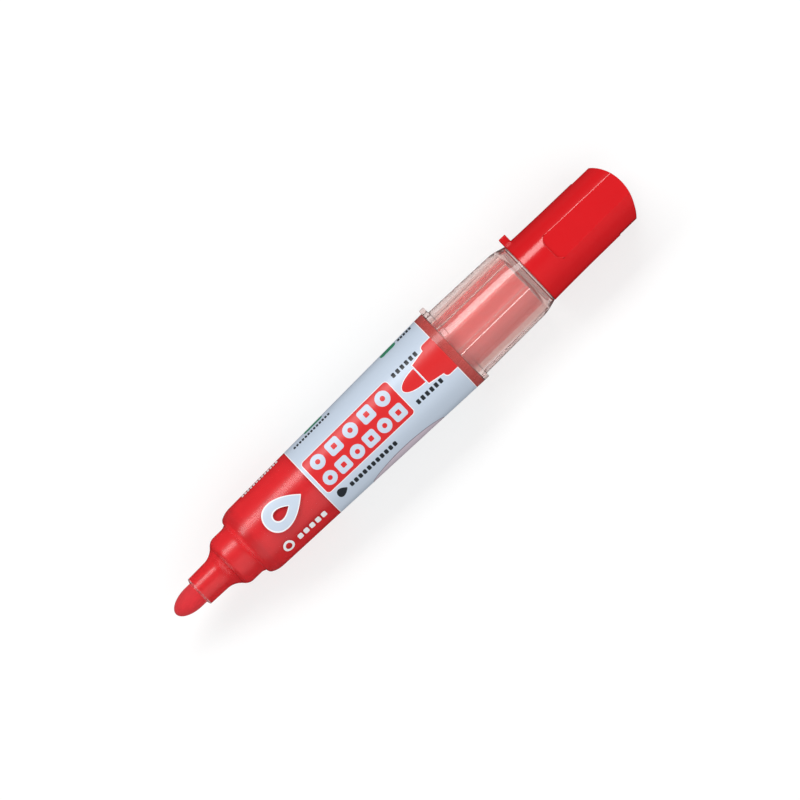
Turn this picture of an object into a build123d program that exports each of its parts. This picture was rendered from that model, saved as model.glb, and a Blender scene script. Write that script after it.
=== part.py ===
"""Refillable whiteboard marker, uncapped, with its cap posted on the tail.

Millimetres. +X runs along the marker's axis from the nib to the tail, +Y points to the side of the
anti-roll lugs, +Z is up. The origin is on the axis, at the root of the straight neck that the cap
seats on. An outline is given as (distance along the axis, radius) and is turned about the axis.
"""

import os

from build123d import *

# ---------------------------------------------------------------- driving dimensions
# Nozzle, flare and neck of the front barrel
NIB_R = 3.0
NOZZLE_FRONT_R = 4.0
NOZZLE_R = 4.15
NOZZLE_LENGTH = 5.6
NOZZLE_BEVEL = 0.85
NOZZLE_BEVEL_LENGTH = 0.3
FLARE_LENGTH = 6.1
FLARE_BREAK = 0.637
NECK_R = 7.0
NECK_LENGTH = 3.0
NECK_ROOT_LENGTH = 0.9
NECK_ROOT_R = 7.4

# Tapered body of the front barrel, with the label let into it
KNEE_LENGTH = 0.8
KNEE_R = 8.7
KNEE_ARC_R = 1.5
SHOULDER_LENGTH = 3.6
SHOULDER_R = 9.45
SHOULDER_ARC_R = 6.3
BARREL_LENGTH = 69.3
BARREL_END_R = 11.0
RED_ZONE_LENGTH = 22.4
END_RING_LENGTH = 0.2
FILM = 0.1

# Bore of the front barrel
NOZZLE_MOUTH_R = 3.1
NOZZLE_LIP = 0.6
NOZZLE_BORE_R = 3.55
STEP_BORE_R = 5.0
NECK_BORE_R = 6.2
NECK_BORE_CHAMFER = 0.5
BODY_BORE_R = 8.68
SOCKET_R = 9.75
SOCKET_LENGTH = 21.3

# Nib, wick and nib holder
NIB_REACH = 7.5
NIB_NOSE = 6.0
NIB_CHAMFER = 0.4
WICK_R = 1.5
WICK_OVERLAP = 4.8
WICK_CHAMFER = 0.3
PRESS_GAP = 0.03
VENT_COUNT = 4
VENT_WIDTH = 0.9
VENT_DEPTH = 0.35

# Feed: housing, collector and twin-pipe feeder
FEED_BORE_R = 7.6
HOUSING_LENGTH = 42.4
HOUSING_FLOOR = 1.2
HOUSING_LEAD_IN = 0.6
FIN_R = 7.5
FIN_COUNT = 17
FIN_THICKNESS = 0.7
FIN_PITCH = 1.45
CORE_R = 2.6
COLLECTOR_FLANGE = 1.4
SPIGOT_R = 3.4
SPIGOT_LENGTH = 9.6
INK_SLOT = 0.5
AIR_NOTCH = 2.0
AIR_NOTCH_FLOOR_R = 5.6
FEEDER_BASE = 1.4
FEEDER_BASE_R = 4.4
FEEDER_GAP = 7.4
PIPE_OFFSET = 1.9
INK_PIPE_R = 1.1
INK_PIPE_BORE_R = 0.65
AIR_PIPE_R = 0.85
AIR_PIPE_BORE_R = 0.45
PIPE_CLEARANCE = 0.06

# Cartridge
CARTRIDGE_R = 7.5
CARTRIDGE_WALL = 0.8
CARTRIDGE_LENGTH = 52.8
CARTRIDGE_FLOOR = 1.2
CARTRIDGE_ROUND = 1.2
CARTRIDGE_CHAMFER = 0.4
STOPPER_LENGTH = 4.4
INK_PIPE_REACH = 7.0
AIR_PIPE_REACH = 5.2
AIR_SPACE = 8.0
INK_GAP = 0.02

# Tail barrel
TAIL_SPIGOT_R = 9.7
TAIL_SPIGOT_LENGTH = 10.5
TAIL_SPIGOT_CHAMFER = 0.4
TAIL_RELIEF_R = 9.5
TAIL_RELIEF_LENGTH = 5.4
TAIL_BAND_LENGTH = 2.2
TAIL_BORE_R = 8.8
TAIL_BORE_END_R = 7.9
TAIL_BORE_CONE = 2.4
FLANGE_R = 11.0
FLANGE_LENGTH = 1.4
TAIL_LUG_R = 11.75
TAIL_LUG_WIDTH = 4.6
TAIL_LUG_CORNER = 0.5
SLEEVE_FRONT_R = 10.1
SLEEVE_R = 9.7
SLEEVE_LENGTH = 20.7
SLEEVE_ROUND = 2.0
TAIL_CONE_LENGTH = 3.5
TAIL_END_R = 8.5
RIB_COUNT = 6
RIB_WIDTH = 1.1
RIB_TOP_R = 7.6
RIB_TURN = 18.0
RIB_SETBACK = 1.3
TAIL_WALL = 1.5
STUB_LENGTH = 9.6
STUB_CHAMFER = 0.6
STUB_BORE_R = 5.7

# Cap
CAP_LENGTH = 30.8
CAP_MOUTH_R = 8.83
CAP_WAIST_R = 8.62
CAP_WAIST = 8.0
CAP_TOP_R = 8.5
CAP_END_BULGE = 3.5
CAP_BORE_R = 7.05
CAP_MOUTH_CHAMFER = 0.45
CAP_BORE_LENGTH = 27.1
CAP_LUG_R = 10.8
CAP_LUG_LENGTH = 2.0
CAP_LUG_WIDTH = 3.4
CAP_LUG_CORNER = 0.8
FLAT_DEPTH = 0.65
FLAT_HALF_WIDTH = 3.3
FLAT_CORNER = 2.0
FLAT_START = 7.0
SIDE_FLAT_DEPTH = 0.25
SIDE_FLAT_START = 22.0

# Inner cap
LINER_START = 10.4
LINER_LENGTH = 16.1
LINER_COLLAR = 2.0
LINER_R = 5.6
LINER_BORE_R = 4.6
LINER_SEAL_LENGTH = 5.0
LINER_SEAL_R = 4.2
LINER_LEAD_IN = 0.6
LINER_FLOOR = 1.0

# ---------------------------------------------------------------- places along the axis
NECK_FRONT = -NECK_LENGTH
FLARE_FRONT = NECK_FRONT - FLARE_LENGTH
NOZZLE_FRONT = FLARE_FRONT - NOZZLE_LENGTH
NIB_TIP = NOZZLE_FRONT - NIB_REACH
SHOULDER = NECK_ROOT_LENGTH
KNEE = SHOULDER + KNEE_LENGTH
BODY_FRONT = SHOULDER + SHOULDER_LENGTH
LABEL_FRONT = SHOULDER + RED_ZONE_LENGTH
BARREL_END = SHOULDER + BARREL_LENGTH
LABEL_REAR = BARREL_END - END_RING_LENGTH
SOCKET_FRONT = BARREL_END - SOCKET_LENGTH
BARREL_TAPER = (BARREL_END_R - SHOULDER_R) / (BARREL_END - BODY_FRONT)

HOLDER_FRONT = NOZZLE_FRONT + NOZZLE_LIP
BORE_CONE_FRONT = FLARE_FRONT + 1.1
HOLDER_STEP = NECK_FRONT - 1.6
HOLDER_REAR = 2.3
NIB_REAR = NECK_FRONT - 0.3
WICK_FRONT = NIB_REAR - WICK_OVERLAP
HOUSING_NOSE = HOLDER_REAR + 0.2
HOUSING_FRONT = 4.5
HOUSING_REAR = HOUSING_FRONT + HOUSING_LENGTH
BORE_TAPER = (SOCKET_R - BODY_BORE_R) / (SOCKET_FRONT - HOUSING_FRONT)
SPIGOT_FRONT = NIB_REAR + 0.6
FIRST_FIN = SPIGOT_FRONT + SPIGOT_LENGTH
FINS_END = FIRST_FIN + (FIN_COUNT - 1) * FIN_PITCH + FIN_THICKNESS
FLANGE_FRONT = FINS_END + FIN_PITCH
FEEDER_FRONT = FLANGE_FRONT + COLLECTOR_FLANGE
CARTRIDGE_FRONT = FEEDER_FRONT + FEEDER_GAP
CARTRIDGE_REAR = CARTRIDGE_FRONT + CARTRIDGE_LENGTH

TAIL_FRONT = BARREL_END - TAIL_SPIGOT_LENGTH
FLANGE_REAR = BARREL_END + FLANGE_LENGTH
SLEEVE_END = FLANGE_REAR + SLEEVE_LENGTH
TAIL_END = SLEEVE_END + TAIL_CONE_LENGTH
CAVITY_REAR = TAIL_END - TAIL_WALL
RIB_REAR = CAVITY_REAR - RIB_SETBACK
STUB_FLOOR = TAIL_END + 0.1
STUB_END = TAIL_END + STUB_LENGTH
CAP_END = TAIL_END + CAP_LENGTH
CAP_BODY_END = CAP_END - CAP_END_BULGE
CAP_END_ARC_R = (CAP_TOP_R**2 + CAP_END_BULGE**2) / (2 * CAP_END_BULGE)
LINER_FRONT = TAIL_END + LINER_START
LINER_END = LINER_FRONT + LINER_LENGTH

# (height above the axis, outer radius, bore radius, reach into the cartridge)
PIPES = (
    (PIPE_OFFSET, INK_PIPE_R, INK_PIPE_BORE_R, INK_PIPE_REACH),
    (-PIPE_OFFSET, AIR_PIPE_R, AIR_PIPE_BORE_R, AIR_PIPE_REACH),
)


def barrel_radius(x):
    """Outer radius of the barrel's tapered body."""
    return SHOULDER_R + BARREL_TAPER * (x - BODY_FRONT)


def bore_radius(x):
    """Radius of the barrel's tapered bore."""
    return BODY_BORE_R + BORE_TAPER * (x - HOUSING_FRONT)


def turn(*points, mode=Mode.ADD):
    """Turn a closed outline of (distance, radius) points about the marker's axis."""
    with BuildSketch(Plane.XY) as outline:
        with BuildLine():
            Polyline(*points, close=True)
        make_face()
    revolve(outline.sketch, axis=Axis.X, mode=mode)


def cut_bore(front, rear, radius):
    """Cut a round bore on the axis from front to rear."""
    turn((front, 0), (rear, 0), (rear, radius), (front, radius), mode=Mode.SUBTRACT)


os.makedirs("parts", exist_ok=True)

# ---------------------------------------------------------------- nib
# A bonded fibre rod: an elliptical nose, a straight body and a blind bore that takes the wick.
with BuildPart() as nib:
    with BuildSketch(Plane.XY):
        with BuildLine():
            EllipticalCenterArc((NIB_TIP + NIB_NOSE, 0), NIB_NOSE, NIB_R, start_angle=90, arc_size=90)
            Polyline(
                (NIB_TIP + NIB_NOSE, NIB_R),
                (NIB_REAR - NIB_CHAMFER, NIB_R),
                (NIB_REAR, NIB_R - NIB_CHAMFER),
                (NIB_REAR, 0),
                (NIB_TIP, 0),
            )
        make_face()
    revolve(axis=Axis.X)
    cut_bore(WICK_FRONT, NIB_REAR, WICK_R)

# ---------------------------------------------------------------- front barrel
# One clear moulding. Its core is drawn out to the rear, so the bore only widens that way.
with BuildPart() as front_barrel:
    flare_break = (
        FLARE_FRONT + FLARE_BREAK * FLARE_LENGTH,
        NOZZLE_R + FLARE_BREAK * (NECK_R - NOZZLE_R),
    )
    with BuildSketch(Plane.XY):
        with BuildLine():
            Polyline(
                (NOZZLE_FRONT, 0),
                (NOZZLE_FRONT, NOZZLE_FRONT_R - NOZZLE_BEVEL),
                (NOZZLE_FRONT + NOZZLE_BEVEL_LENGTH, NOZZLE_FRONT_R),
                (FLARE_FRONT, NOZZLE_R),
            )
            TangentArc((FLARE_FRONT, NOZZLE_R), flare_break, tangent=(1, 0))
            TangentArc((NECK_FRONT, NECK_R), flare_break, tangent=(-1, 0))
            Line((NECK_FRONT, NECK_R), (0, NECK_R))
            TangentArc((0, NECK_R), (SHOULDER, NECK_ROOT_R), tangent=(1, 0))
            RadiusArc((SHOULDER, NECK_ROOT_R), (KNEE, KNEE_R), KNEE_ARC_R)
            RadiusArc((KNEE, KNEE_R), (BODY_FRONT, SHOULDER_R), SHOULDER_ARC_R)
            Polyline(
                (BODY_FRONT, SHOULDER_R),
                (LABEL_FRONT, barrel_radius(LABEL_FRONT)),
                (LABEL_FRONT, barrel_radius(LABEL_FRONT) - FILM),
                (LABEL_REAR, barrel_radius(LABEL_REAR) - FILM),
                (LABEL_REAR, barrel_radius(LABEL_REAR)),
                (BARREL_END, BARREL_END_R),
                (BARREL_END, 0),
                (NOZZLE_FRONT, 0),
            )
        make_face()
    revolve(axis=Axis.X)
    turn(
        (NOZZLE_FRONT, 0),
        (NOZZLE_FRONT, NOZZLE_MOUTH_R),
        (HOLDER_FRONT, NOZZLE_MOUTH_R),
        (HOLDER_FRONT, NOZZLE_BORE_R),
        (BORE_CONE_FRONT, NOZZLE_BORE_R),
        (HOLDER_STEP, STEP_BORE_R),
        (HOLDER_STEP, NECK_BORE_R - NECK_BORE_CHAMFER),
        (HOLDER_STEP + NECK_BORE_CHAMFER, NECK_BORE_R),
        (HOUSING_NOSE, NECK_BORE_R),
        (HOUSING_FRONT, BODY_BORE_R),
        (SOCKET_FRONT, SOCKET_R),
        (BARREL_END, SOCKET_R),
        (BARREL_END, 0),
        mode=Mode.SUBTRACT,
    )

# ---------------------------------------------------------------- nib holder
# A red sleeve that grips the nib, with vent grooves along its bore.
with BuildPart() as nib_holder:
    turn(
        (HOLDER_FRONT, NIB_R),
        (HOLDER_FRONT, NOZZLE_BORE_R - PRESS_GAP),
        (BORE_CONE_FRONT, NOZZLE_BORE_R - PRESS_GAP),
        (HOLDER_STEP, STEP_BORE_R - PRESS_GAP),
        (HOLDER_STEP, NECK_BORE_R - NECK_BORE_CHAMFER - PRESS_GAP),
        (HOLDER_STEP + NECK_BORE_CHAMFER, NECK_BORE_R - PRESS_GAP),
        (HOLDER_REAR, NECK_BORE_R - PRESS_GAP),
        (HOLDER_REAR, SPIGOT_R),
        (NIB_REAR, SPIGOT_R),
        (NIB_REAR, NIB_R),
    )
    with BuildSketch(Plane.YZ.offset(HOLDER_FRONT)):
        with PolarLocations(NIB_R, VENT_COUNT):
            Rectangle(2 * VENT_DEPTH, VENT_WIDTH)
    extrude(amount=NIB_REAR - HOLDER_FRONT, mode=Mode.SUBTRACT)

# ---------------------------------------------------------------- feed housing
# The red tube that shows through the clear front zone and holds the collector. Its nose fills the
# shoulder of the barrel up to the nib holder.
with BuildPart() as feed_housing:
    turn(
        (HOUSING_NOSE, SPIGOT_R + 0.1),
        (HOUSING_NOSE, NECK_BORE_R - 2 * PRESS_GAP),
        (HOUSING_FRONT, bore_radius(HOUSING_FRONT) - 2 * PRESS_GAP),
        (HOUSING_REAR, bore_radius(HOUSING_REAR) - PRESS_GAP),
        (HOUSING_REAR, FEED_BORE_R + HOUSING_LEAD_IN),
        (HOUSING_REAR - HOUSING_LEAD_IN, FEED_BORE_R),
        (HOUSING_FRONT + HOUSING_FLOOR, FEED_BORE_R),
        (HOUSING_FRONT + HOUSING_FLOOR, SPIGOT_R + 0.1),
    )

# ---------------------------------------------------------------- collector
# A comb of thin fins on a core tube. One narrow slot leads ink to every gap between the fins and a
# wider notch on the other side lets air past them.
with BuildPart() as collector:
    turn(
        (SPIGOT_FRONT, 0),
        (SPIGOT_FRONT, SPIGOT_R),
        (FIRST_FIN, SPIGOT_R),
        (FIRST_FIN, CORE_R),
        (FLANGE_FRONT, CORE_R),
        (FLANGE_FRONT, FIN_R),
        (FEEDER_FRONT, FIN_R),
        (FEEDER_FRONT, 0),
    )
    with BuildSketch(*[Plane.YZ.offset(FIRST_FIN + k * FIN_PITCH) for k in range(FIN_COUNT)]):
        Circle(FIN_R)
        Circle(CORE_R - 0.2, mode=Mode.SUBTRACT)
    extrude(amount=FIN_THICKNESS)
    cut_bore(SPIGOT_FRONT, FEEDER_FRONT, WICK_R)
    with BuildSketch(Plane.YZ.offset(FIRST_FIN)):
        with Locations((0, FIN_R)):
            Rectangle(INK_SLOT, 2 * (FIN_R - WICK_R + 0.3))
        with Locations((0, -FIN_R)):
            Rectangle(AIR_NOTCH, 2 * (FIN_R - AIR_NOTCH_FLOOR_R))
    extrude(amount=FINS_END - FIRST_FIN, mode=Mode.SUBTRACT)

# ---------------------------------------------------------------- feed wick
with BuildPart() as feed_wick:
    turn((WICK_FRONT, 0), (WICK_FRONT, WICK_R), (FLANGE_FRONT, WICK_R), (FLANGE_FRONT, 0))
    chamfer(feed_wick.edges().filter_by(GeomType.CIRCLE), WICK_CHAMFER)

# ---------------------------------------------------------------- twin-pipe feeder
# Two pipes on one base: the longer carries ink out of the cartridge, the shorter lets air in.
with BuildPart() as twin_pipe_feeder:
    turn(
        (FEEDER_FRONT, 0),
        (FEEDER_FRONT, FEEDER_BASE_R),
        (FEEDER_FRONT + FEEDER_BASE, FEEDER_BASE_R),
        (FEEDER_FRONT + FEEDER_BASE, 0),
    )
    for height, outer, bore, reach in PIPES:
        with BuildSketch(Plane.YZ.offset(FEEDER_FRONT)):
            with Locations((0, height)):
                Circle(outer)
        extrude(amount=CARTRIDGE_FRONT + reach - FEEDER_FRONT)
        with BuildSketch(Plane.YZ.offset(FEEDER_FRONT)):
            with Locations((0, height)):
                Circle(bore)
        extrude(amount=CARTRIDGE_FRONT + reach - FEEDER_FRONT, mode=Mode.SUBTRACT)

# ---------------------------------------------------------------- label
with BuildPart() as label:
    turn(
        (LABEL_FRONT, barrel_radius(LABEL_FRONT) - FILM),
        (LABEL_FRONT, barrel_radius(LABEL_FRONT)),
        (LABEL_REAR, barrel_radius(LABEL_REAR)),
        (LABEL_REAR, barrel_radius(LABEL_REAR) - FILM),
    )

# ---------------------------------------------------------------- cartridge
CARTRIDGE_BORE_R = CARTRIDGE_R - CARTRIDGE_WALL
with BuildPart() as cartridge_tube:
    turn(
        (CARTRIDGE_FRONT, 0),
        (CARTRIDGE_FRONT, CARTRIDGE_R),
        (CARTRIDGE_REAR, CARTRIDGE_R),
        (CARTRIDGE_REAR, 0),
    )
    fillet(cartridge_tube.edges().filter_by(GeomType.CIRCLE).group_by(Axis.X)[-1], CARTRIDGE_ROUND)
    chamfer(cartridge_tube.edges().filter_by(GeomType.CIRCLE).group_by(Axis.X)[0], CARTRIDGE_CHAMFER)
    cut_bore(CARTRIDGE_FRONT, CARTRIDGE_REAR - CARTRIDGE_FLOOR, CARTRIDGE_BORE_R)

with BuildPart() as cartridge_stopper:
    turn(
        (CARTRIDGE_FRONT, 0),
        (CARTRIDGE_FRONT, CARTRIDGE_BORE_R),
        (CARTRIDGE_FRONT + STOPPER_LENGTH, CARTRIDGE_BORE_R),
        (CARTRIDGE_FRONT + STOPPER_LENGTH, 0),
    )
    with BuildSketch(Plane.YZ.offset(CARTRIDGE_FRONT)):
        for height, outer, bore, reach in PIPES:
            with Locations((0, height)):
                Circle(outer + PIPE_CLEARANCE)
    extrude(amount=STOPPER_LENGTH, mode=Mode.SUBTRACT)

with BuildPart() as ink:
    turn(
        (CARTRIDGE_FRONT + AIR_SPACE, 0),
        (CARTRIDGE_FRONT + AIR_SPACE, CARTRIDGE_BORE_R - INK_GAP),
        (CARTRIDGE_REAR - CARTRIDGE_FLOOR - INK_GAP, CARTRIDGE_BORE_R - INK_GAP),
        (CARTRIDGE_REAR - CARTRIDGE_FLOOR - INK_GAP, 0),
    )

# ---------------------------------------------------------------- tail barrel
# The clear end: a spigot that two bands centre in the barrel, a flange with the anti-roll lug, the
# ribbed sleeve round the cartridge, and the stub that the cap is posted on.
with BuildPart() as tail_barrel:
    relief_front = TAIL_FRONT + TAIL_BAND_LENGTH
    relief_rear = relief_front + TAIL_RELIEF_LENGTH
    relief_step = TAIL_SPIGOT_R - TAIL_RELIEF_R
    turn(
        (TAIL_FRONT, 0),
        (TAIL_FRONT, TAIL_SPIGOT_R - TAIL_SPIGOT_CHAMFER),
        (TAIL_FRONT + TAIL_SPIGOT_CHAMFER, TAIL_SPIGOT_R),
        (relief_front, TAIL_SPIGOT_R),
        (relief_front + relief_step, TAIL_RELIEF_R),
        (relief_rear, TAIL_RELIEF_R),
        (relief_rear + relief_step, TAIL_SPIGOT_R),
        (BARREL_END, TAIL_SPIGOT_R),
        (BARREL_END, FLANGE_R),
        (FLANGE_REAR, FLANGE_R),
        (FLANGE_REAR, SLEEVE_FRONT_R),
        (SLEEVE_END, SLEEVE_R),
        (TAIL_END, TAIL_END_R),
        (TAIL_END, NECK_R),
        (STUB_END - STUB_CHAMFER, NECK_R),
        (STUB_END, NECK_R - STUB_CHAMFER),
        (STUB_END, STUB_BORE_R),
        (STUB_FLOOR, STUB_BORE_R),
        (STUB_FLOOR, 0),
    )
    sleeve_edges = tail_barrel.edges().filter_by(GeomType.CIRCLE).filter_by_position(
        Axis.X, SLEEVE_END - 0.01, SLEEVE_END + 0.01
    )
    fillet(sleeve_edges, SLEEVE_ROUND)
    with BuildSketch(Plane.YZ.offset(BARREL_END)):
        with Locations(((TAIL_LUG_R + TAIL_BORE_R) / 2, 0)):
            RectangleRounded(TAIL_LUG_R - TAIL_BORE_R, TAIL_LUG_WIDTH, TAIL_LUG_CORNER)
    extrude(amount=FLANGE_LENGTH)
    turn(
        (TAIL_FRONT, 0),
        (TAIL_FRONT, TAIL_BORE_R),
        (CAVITY_REAR - TAIL_BORE_CONE, TAIL_BORE_R),
        (CAVITY_REAR, TAIL_BORE_END_R),
        (CAVITY_REAR, 0),
        mode=Mode.SUBTRACT,
    )
    with BuildSketch(Plane.YZ.offset(TAIL_FRONT + 1)):
        rib_root = TAIL_BORE_R + 0.3
        with PolarLocations((RIB_TOP_R + rib_root) / 2, RIB_COUNT, start_angle=90 + RIB_TURN):
            Rectangle(rib_root - RIB_TOP_R, RIB_WIDTH)
    extrude(amount=RIB_REAR - TAIL_FRONT - 1)

# ---------------------------------------------------------------- cap
with BuildPart() as cap:
    turn(
        (TAIL_END, 0),
        (TAIL_END, CAP_MOUTH_R),
        (TAIL_END + CAP_WAIST, CAP_WAIST_R),
        (CAP_BODY_END, CAP_TOP_R),
        (CAP_END, CAP_TOP_R),
        (CAP_END, 0),
    )
    with BuildSketch(Plane.YZ.offset(TAIL_END)):
        with Locations(((CAP_LUG_R + CAP_BORE_R) / 2, 0)):
            RectangleRounded(CAP_LUG_R - CAP_BORE_R, CAP_LUG_WIDTH, CAP_LUG_CORNER)
    extrude(amount=CAP_LUG_LENGTH)
    # Two long flats above and below, and two short ones beside them, run out through the end.
    flat_length = CAP_LENGTH
    for side in (1, -1):
        with BuildSketch(Plane.XY.offset(side * (CAP_TOP_R - FLAT_DEPTH))):
            with Locations((TAIL_END + FLAT_START + flat_length / 2, 0)):
                RectangleRounded(flat_length, 2 * FLAT_HALF_WIDTH, FLAT_CORNER)
        with BuildSketch(Plane.XZ.offset(side * (CAP_TOP_R - SIDE_FLAT_DEPTH))):
            with Locations((TAIL_END + SIDE_FLAT_START + flat_length / 2, 0)):
                Rectangle(flat_length, 2 * FLAT_HALF_WIDTH)
        extrude(amount=side * 2 * FLAT_DEPTH, mode=Mode.SUBTRACT)
    # The end is rounded in plan only, so the long flats run right up to its edge.
    with BuildSketch(Plane.XY):
        with Locations((CAP_END, 0)):
            Rectangle(2 * CAP_END_BULGE, 4 * CAP_TOP_R)
        with Locations((CAP_END - CAP_END_ARC_R, 0)):
            Circle(CAP_END_ARC_R, mode=Mode.SUBTRACT)
    extrude(amount=2 * CAP_TOP_R, both=True, mode=Mode.SUBTRACT)
    turn(
        (TAIL_END, 0),
        (TAIL_END, CAP_BORE_R + CAP_MOUTH_CHAMFER),
        (TAIL_END + CAP_MOUTH_CHAMFER, CAP_BORE_R),
        (TAIL_END + CAP_BORE_LENGTH, CAP_BORE_R),
        (TAIL_END + CAP_BORE_LENGTH, 0),
        mode=Mode.SUBTRACT,
    )

# ---------------------------------------------------------------- inner cap
# A soft cup pressed into the cap. Its mouth seals on the nozzle when the cap is on the nib.
with BuildPart() as inner_cap:
    turn(
        (LINER_FRONT, LINER_SEAL_R + LINER_LEAD_IN),
        (LINER_FRONT, CAP_BORE_R),
        (LINER_FRONT + LINER_COLLAR, CAP_BORE_R),
        (LINER_FRONT + LINER_COLLAR, LINER_R),
        (LINER_END, LINER_R),
        (LINER_END, 0),
        (LINER_END - LINER_FLOOR, 0),
        (LINER_END - LINER_FLOOR, LINER_BORE_R),
        (LINER_FRONT + LINER_SEAL_LENGTH, LINER_BORE_R),
        (LINER_FRONT + LINER_SEAL_LENGTH, LINER_SEAL_R),
        (LINER_FRONT + LINER_LEAD_IN, LINER_SEAL_R),
    )

# ---------------------------------------------------------------- labels and export
pieces = {
    "nib": nib,
    "front_barrel": front_barrel,
    "nib_holder": nib_holder,
    "feed_housing": feed_housing,
    "collector": collector,
    "feed_wick": feed_wick,
    "twin_pipe_feeder": twin_pipe_feeder,
    "label": label,
    "cartridge_tube": cartridge_tube,
    "cartridge_stopper": cartridge_stopper,
    "ink": ink,
    "tail_barrel": tail_barrel,
    "cap": cap,
    "inner_cap": inner_cap,
}
for name, piece in pieces.items():
    piece.part.label = name
    export_step(piece.part, f"parts/{name}.step")
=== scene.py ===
"""Refillable whiteboard marker, uncapped, with its cap posted on the tail.

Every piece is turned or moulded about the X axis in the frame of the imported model: the nib points
to -X, the anti-roll lugs to +Y and the marker lies on its barrel with +Z up.
"""

import math

import bmesh
import bpy
from mathutils import Matrix, Vector


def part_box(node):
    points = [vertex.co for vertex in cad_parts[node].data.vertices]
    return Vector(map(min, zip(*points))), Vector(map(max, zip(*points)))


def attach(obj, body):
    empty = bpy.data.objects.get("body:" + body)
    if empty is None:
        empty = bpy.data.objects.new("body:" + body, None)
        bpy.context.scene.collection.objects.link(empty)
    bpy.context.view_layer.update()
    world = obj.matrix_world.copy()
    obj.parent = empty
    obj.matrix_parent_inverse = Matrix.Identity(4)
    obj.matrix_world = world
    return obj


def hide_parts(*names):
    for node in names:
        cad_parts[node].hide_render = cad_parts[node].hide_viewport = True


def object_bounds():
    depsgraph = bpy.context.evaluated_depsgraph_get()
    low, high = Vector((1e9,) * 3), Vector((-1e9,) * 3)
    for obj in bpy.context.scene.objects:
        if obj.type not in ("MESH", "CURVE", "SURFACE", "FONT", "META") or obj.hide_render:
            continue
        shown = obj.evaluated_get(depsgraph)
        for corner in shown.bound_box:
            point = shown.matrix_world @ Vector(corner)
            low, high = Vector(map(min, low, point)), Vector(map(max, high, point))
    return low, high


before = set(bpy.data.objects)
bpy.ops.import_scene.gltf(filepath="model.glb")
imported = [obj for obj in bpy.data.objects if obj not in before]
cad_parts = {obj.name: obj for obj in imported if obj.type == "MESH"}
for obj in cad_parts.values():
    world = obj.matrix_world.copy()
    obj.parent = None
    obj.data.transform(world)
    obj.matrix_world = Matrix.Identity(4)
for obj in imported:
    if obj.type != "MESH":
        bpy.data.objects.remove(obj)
CAD_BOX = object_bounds()

bl_info = {
    "name": "Whiteboard Marker",
    "version": (1, 0, 0),
    "blender": (4, 5, 0),
    "location": "3D View > Sidebar > Marker",
    "description": "Builds a refillable whiteboard marker from its turned and moulded pieces",
    "category": "Add Mesh",
}

MM = 0.001
AXIS = (1.0, 0.0, 0.0)

# radii and lengths that more than one piece shares, in mm
NOZZLE_BORE = 3.55
NECK_BORE = 6.2
BODY_BORE = 8.68  # where the barrel's body begins
BARREL_END_RADIUS = 11.0
TAPER = 0.02359  # growth of the barrel's radius along the axis
PRINT_RADIUS = 10.4  # mean radius of the film
MARK_RADIUS = 9.7  # mean radius of the clear zone in front of the film
FILM_THICKNESS = 0.1
CARTRIDGE_BORE = 6.7
CARTRIDGE_END_WALL = 1.2
STUB_LENGTH = 9.6  # the part of the tail that the cap is posted on
WET = 0.02  # how far a part that wets a clear wall reaches into it


def linear(code):
    """Turn an sRGB hex code into the linear colour that Blender's sockets hold."""
    parts = (int(code[k : k + 2], 16) / 255 for k in (0, 2, 4))
    return tuple(p / 12.92 if p <= 0.04045 else ((p + 0.055) / 1.055) ** 2.4 for p in parts)


def front(node):
    """Where a CAD node starts along the axis, in mm."""
    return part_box(node)[0].x / MM


def rear(node):
    """Where a CAD node ends along the axis, in mm."""
    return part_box(node)[1].x / MM


# ---------------------------------------------------------------- sizes and colours
class MarkerSizes(bpy.types.PropertyGroup):
    """Sizes of the moulded edges and of the print."""

    turn_steps: bpy.props.IntProperty(
        name="Turning steps", description="Flat faces round a turned piece", default=144, min=48
    )
    edge_round: bpy.props.FloatProperty(
        name="Edge rounding",
        description="Rounding of the moulded edges",
        default=0.12 * MM,
        unit="LENGTH",
        precision=5,
    )
    badge_length: bpy.props.FloatProperty(
        name="Badge length",
        description="Length of the red badge on the film",
        default=28.4 * MM,
        unit="LENGTH",
        precision=4,
    )
    badge_width: bpy.props.FloatProperty(
        name="Badge width",
        description="Width of the red badge round the barrel",
        default=10.6 * MM,
        unit="LENGTH",
        precision=4,
    )
    fibre: bpy.props.FloatProperty(
        name="Fibre width",
        description="Width of one bundle of fibres in the nib",
        default=0.18 * MM,
        unit="LENGTH",
        precision=5,
    )


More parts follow.
